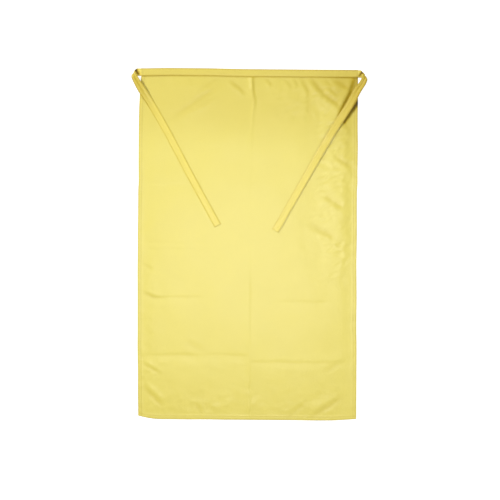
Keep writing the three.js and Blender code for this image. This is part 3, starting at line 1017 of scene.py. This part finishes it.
def make_stitch_tree():
    """Stitches laid end to end along every seam line of a mesh of edges."""
    tree = bpy.data.node_groups.new("Stitch seams", "GeometryNodeTree")
    for name, kind in STITCH_INPUTS:
        tree.interface.new_socket(name, in_out="INPUT", socket_type=f"NodeSocket{kind}")
    tree.interface.new_socket("Geometry", in_out="OUTPUT", socket_type="NodeSocketGeometry")
    make = NodeMaker(tree)
    given = make.add("NodeGroupInput").outputs
    length, width = given["Stitch Length"], given["Thread Width"]
    line = make.add("GeometryNodeMeshToCurve", {"Mesh": given["Geometry"]})
    spaced = make.add("GeometryNodeResampleCurve", {
        "Curve": line.outputs["Curve"], "Length": make.maths("ADD", length, given["Stitch Gap"])},
        mode="LENGTH")
    bead = make.add("GeometryNodeMeshUVSphere", {"Segments": 6, "Rings": 5, "Radius": 0.5})
    lying = make.add("GeometryNodeTransform", {
        "Geometry": bead.outputs["Mesh"], "Rotation": (0, math.pi / 2, 0)})
    size = make.add("ShaderNodeCombineXYZ", {"X": length, "Y": width, "Z": width})
    stitch = make.add("GeometryNodeTransform", {
        "Geometry": lying.outputs["Geometry"], "Scale": size.outputs["Vector"]})
    tangent = make.add("GeometryNodeInputTangent").outputs["Tangent"]
    aim = make.add("FunctionNodeAlignRotationToVector", {"Vector": tangent}, axis="X")
    vary = make.add("FunctionNodeRandomValue", {"Seed": given["Seed"]}, data_type="FLOAT")
    numbers = [socket for socket in vary.inputs if socket.type == "VALUE"]
    numbers[0].default_value, numbers[1].default_value = STITCH_SIZES
    amount = next(socket for socket in vary.outputs if socket.type == "VALUE")
    sewn = make.add("GeometryNodeInstanceOnPoints", {
        "Points": spaced.outputs["Curve"], "Instance": stitch.outputs["Geometry"],
        "Rotation": aim.outputs["Rotation"], "Scale": amount})
    real = make.add("GeometryNodeRealizeInstances", {"Geometry": sewn.outputs["Instances"]})
    smooth = make.add("GeometryNodeSetShadeSmooth", {"Geometry": real.outputs["Geometry"]})
    finish = make.add("GeometryNodeSetMaterial", {
        "Geometry": smooth.outputs["Geometry"], "Material": given["Thread"]})
    make.add("NodeGroupOutput", {"Geometry": finish.outputs["Geometry"]})


def sew(name, lines, seed, length=None, gap=None):
    """Stitches along lines of points, as one plain mesh."""
    sewing = bpy.context.scene.apron_sewing
    edges, first = [], 0
    for line in lines:
        edges += [(first + i, first + i + 1) for i in range(len(line) - 1)]
        first += len(line)
    path = bpy.data.meshes.new(f"{name} path")
    path.from_pydata(np.concatenate(lines).tolist(), edges, [])
    holder = add_object(f"{name} path", path)
    tree = bpy.data.node_groups["Stitch seams"]
    modifier = holder.modifiers.new("Stitches", "NODES")
    modifier.node_group = tree
    values = {
        "Stitch Length": sewing.stitch_length if length is None else length,
        "Stitch Gap": sewing.stitch_gap if gap is None else gap,
        "Thread Width": sewing.thread_width,
        "Seed": seed,
        "Thread": material_named("sewing thread"),
    }
    for item in tree.interface.items_tree:
        if item.in_out == "INPUT" and item.name in values:
            modifier[item.identifier] = values[item.name]
    bpy.context.view_layer.update()
    seen = holder.evaluated_get(bpy.context.evaluated_depsgraph_get())
    mesh = bpy.data.meshes.new_from_object(seen)
    mesh.name = name
    bpy.data.objects.remove(holder)
    bpy.data.meshes.remove(path)
    if not mesh.polygons:
        raise RuntimeError(f"{name}: the seam has no stitches")
    stitches = add_object(name, mesh)
    return stitches


def back_level():
    """Height of the middle of the stitches that show on the back, just clear of the table."""
    return 0.5 * bpy.context.scene.apron_sewing.thread_width + 0.03 * MM


def seam_on_panel(u, v):
    """A seam through the hem: its line on the front and its line on the back."""
    x, y = lie(u, v)
    lift = 0.22 * bpy.context.scene.apron_sewing.thread_width
    return [np.stack([x, y, z], -1) for z in (panel_front(u, v) + lift, back_level() + 0 * x)]


class APRON_OT_seams(bpy.types.Operator):
    """Sew the hems, the waistband, the tie tacks and the ties' edges"""
    bl_idname = "apron.seams"
    bl_label = "Seams"

    def execute(self, context):
        self.hem_seams()
        self.band_seam()
        for side, sign in SIDES:
            self.tie_tack(side, sign)
        for side, _ in SIDES:
            self.tie_seams(TieLay(side))
        return {"FINISHED"}

    def hem_seams(self):
        run = np.arange(FOOT + SEAM_INSET, BAND_LOW - 1 * MM, PATH_STEP)
        for side, sign in SIDES:
            lines = seam_on_panel(sign * (SIDE - SEAM_LINE) + 0 * run, run)
            stitches = sew(f"{side}_hem_stitches", lines, seed=3 + sign)
            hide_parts(f"upper_{side}_hem_seam", f"lower_{side}_hem_seam")
            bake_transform(stitches)
        run = np.arange(-SIDE + SEAM_INSET, SIDE - SEAM_INSET, PATH_STEP)
        lines = seam_on_panel(run, FOOT + SEAM_LINE + 0 * run)
        stitches = sew("bottom_hem_stitches", lines, seed=5)
        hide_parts("bottom_hem_seam")
        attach(stitches, "lower_half")

    def band_seam(self):
        u = np.arange(-SIDE + SEAM_INSET, SIDE - SEAM_INSET, PATH_STEP)
        face = band_shape(u)[0][BAND_EDGE:]
        at_seam = int(np.argmin(np.abs(face[:, 0, 0] - BAND_LOW - SEAM_INSET)))
        x, y = lie(u, BAND_LOW + SEAM_INSET + 0 * u)
        front = np.stack([x, y, face[at_seam, 1] + STITCH_LIFT], -1)
        back = np.stack([x, y, back_level() + 0 * x], -1)
        stitches = sew("waistband_stitches", [front, back], seed=7)
        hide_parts("waistband_seam")
        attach(stitches, "waist")

    def tie_tack(self, side, sign):
        pitch = bpy.context.scene.apron_sewing.tack_pitch
        low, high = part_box(f"{side}_tie_tack")
        bars = np.arange(int((high.y - low.y) / pitch))
        v = low.y + 0.5 * MM + bars * pitch
        u = (low.x + high.x) / 2 + 0.7 * MM * np.where(bars % 2, 1, -1)
        face = band_shape(u)[0][BAND_FACE:BAND_EDGE][::-1]
        z = np.array([np.interp(v[i], face[:, 0, i], face[:, 1, i]) for i in bars])
        zigzag = np.stack([*lie(u, v), z + 0.06 * MM], -1)
        tack = sew(f"{side}_tack_stitches", [zigzag], seed=9 + sign, length=1.5 * MM, gap=0)
        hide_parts(f"{side}_tie_tack")
        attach(tack, "waist")

    def tie_seams(self, lay):
        level = float(np.interp(TIE_SEAM, *tape_section())) + STITCH_LIFT
        turn_lines, tape_lines = [], []
        for edge in (-TIE_SEAM, TIE_SEAM):
            corner = lay.roll_cut(lay.half_roll, edge)
            for lines, first, last in ((turn_lines, lay.root_start + 32 * MM, corner),
                                       (tape_lines, corner, lay.length - 2 * SEAM_INSET)):
                along = np.arange(first, last, PATH_STEP)
                lines += [lay.place(along, edge + 0 * along, face_side * level + 0 * along)
                          for face_side in (-1, 1)]
        across = np.arange(-TIE_SEAM, TIE_SEAM, 0.9 * MM)
        along = lay.length - SEAM_INSET + 0 * across
        tape_lines += [lay.place(along, across, face_side * (level + 0.2 * MM) + 0 * across)
                       for face_side in (-1, 1)]
        stitches = sew(f"{lay.side}_turn_stitches", turn_lines, seed=12)
        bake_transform(stitches)
        stitches = sew(f"{lay.side}_tape_stitches", tape_lines, seed=14)
        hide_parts(f"{lay.side}_tie_inner_seam", f"{lay.side}_tie_outer_seam",
                    f"{lay.side}_tie_end_seam")
        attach(stitches, lay.body)


# ---- Materials and stage ----

class APRON_OT_finishes(bpy.types.Operator):
    """Make the cloth and thread finishes and the tree that sews stitches"""
    bl_idname = "apron.finishes"
    bl_label = "Finishes"

    def execute(self, context):
        cloth = cloth_settings()
        make_weave_group()
        make_cloth_material("panel cloth", cloth.cloth_colour, mottle=0.05, finish=0.75)
        make_cloth_material("waistband cloth", cloth.band_colour, mottle=0.06, finish=0.30)
        make_cloth_material("tie cloth", cloth.tie_colour, mottle=0.06, finish=0.75)
        make_thread_material("sewing thread", context.scene.apron_sewing.thread_colour)
        make_stitch_tree()
        return {"FINISHED"}


def lamp_place(azimuth, elevation, distance):
    """A place seen from the table's middle, in degrees from +X and above the table."""
    turn, climb = math.radians(azimuth), math.radians(elevation)
    level = distance * math.cos(climb)
    return (level * math.cos(turn), level * math.sin(turn), distance * math.sin(climb))


def add_area_light(name, power, size, place):
    """A round light that shines at the table's middle."""
    light = bpy.data.lights.new(name, "AREA")
    light.energy, light.shape, light.size = power, "DISK", size
    lamp = add_object(name, light)
    lamp.location = place
    lamp.rotation_euler = (-Vector(place)).to_track_quat("-Z", "Y").to_euler()


class APRON_OT_stage(bpy.types.Operator):
    """Set up the white table, the soft lights and the camera straight above"""
    bl_idname = "apron.stage"
    bl_label = "Stage"

    def execute(self, context):
        stage = context.scene.apron_stage
        self.make_table(stage.table_glow)
        add_area_light("overhead softbox", stage.overhead_power, 1.0, (0.01, -0.06, 2.6))
        add_area_light("left softbox", stage.left_power, 1.1, lamp_place(146, 41, 5.5))
        add_area_light("right softbox", stage.right_power, 1.4, lamp_place(-22, 40, 5.0))
        world = bpy.data.worlds.new("white room")
        world.use_nodes = True
        light = world.node_tree.nodes["Background"].inputs
        light["Color"].default_value = (1, 1, 1, 1)
        light["Strength"].default_value = stage.room_strength
        context.scene.world = world
        context.scene.view_settings.view_transform = "Standard"
        lens = bpy.data.cameras.new("camera")
        lens.lens = 85
        camera = add_object("camera", lens)
        camera.location = (0.0061, -0.0141, stage.camera_height)
        camera.rotation_euler = (0, 0, stage.camera_roll)
        context.scene.camera = camera
        return {"FINISHED"}

    def make_table(self, glow):
        turns = 2 * np.pi * np.arange(SWEEP_SIDES) / SWEEP_SIDES
        corners = [(SWEEP_REACH * np.cos(t), SWEEP_REACH * np.sin(t), z)
                   for z in (0, SWEEP_RISE) for t in turns]
        floor = list(range(SWEEP_SIDES))
        walls = [(here, here + SWEEP_SIDES, after + SWEEP_SIDES, after)
                 for here, after in zip(floor, floor[1:] + floor[:1])]
        mesh = bpy.data.meshes.new("table")
        mesh.from_pydata(corners, [], [floor] + walls)
        material, make, shader = new_material("white table")
        grain = make.noise(make.add("ShaderNodeTexCoord").outputs["Object"], 4.0)
        make.fill(shader, {
            "Base Color": make.blend("MIX", grain, (0.33, 0.33, 0.33, 1), (0.37, 0.37, 0.37, 1)),
            "Emission Color": (1, 1, 1, 1), "Emission Strength": glow, "Roughness": 0.9,
            "Specular IOR Level": 0.1})
        mesh.materials.append(material)
        add_object("table", mesh)


# ---- Panel in the sidebar, registration and the run ----

OPERATORS = (APRON_OT_stage, APRON_OT_finishes, APRON_OT_panel, APRON_OT_hems, APRON_OT_waistband,
             APRON_OT_ties, APRON_OT_seams)
SETTINGS = {"apron_cloth": ApronClothSettings, "apron_sewing": ApronSewingSettings,
            "apron_stage": ApronStageSettings}


class APRON_PT_sidebar(bpy.types.Panel):
    bl_label = "Waist Apron"
    bl_idname = "APRON_PT_sidebar"
    bl_space_type = "VIEW_3D"
    bl_region_type = "UI"
    bl_category = "Apron"

    def draw(self, context):
        for name, group in SETTINGS.items():
            box = self.layout.box()
            for prop in group.__annotations__:
                box.prop(getattr(context.scene, name), prop)
        for operator in OPERATORS:
            self.layout.operator(operator.bl_idname)


def register():
    for group in SETTINGS.values():
        bpy.utils.register_class(group)
    for name, group in SETTINGS.items():
        setattr(bpy.types.Scene, name, bpy.props.PointerProperty(type=group))
    for operator in OPERATORS:
        bpy.utils.register_class(operator)
    bpy.utils.register_class(APRON_PT_sidebar)


def unregister():
    bpy.utils.unregister_class(APRON_PT_sidebar)
    for operator in reversed(OPERATORS):
        bpy.utils.unregister_class(operator)
    for name in SETTINGS:
        delattr(bpy.types.Scene, name)
    for group in SETTINGS.values():
        bpy.utils.unregister_class(group)


def main():
    register()
    bpy.ops.apron.stage()
    bpy.ops.apron.finishes()
    bpy.ops.apron.panel()
    bpy.ops.apron.hems()
    bpy.ops.apron.waistband()
    bpy.ops.apron.ties()
    bpy.ops.apron.seams()


if __name__ == "__main__":
    main()
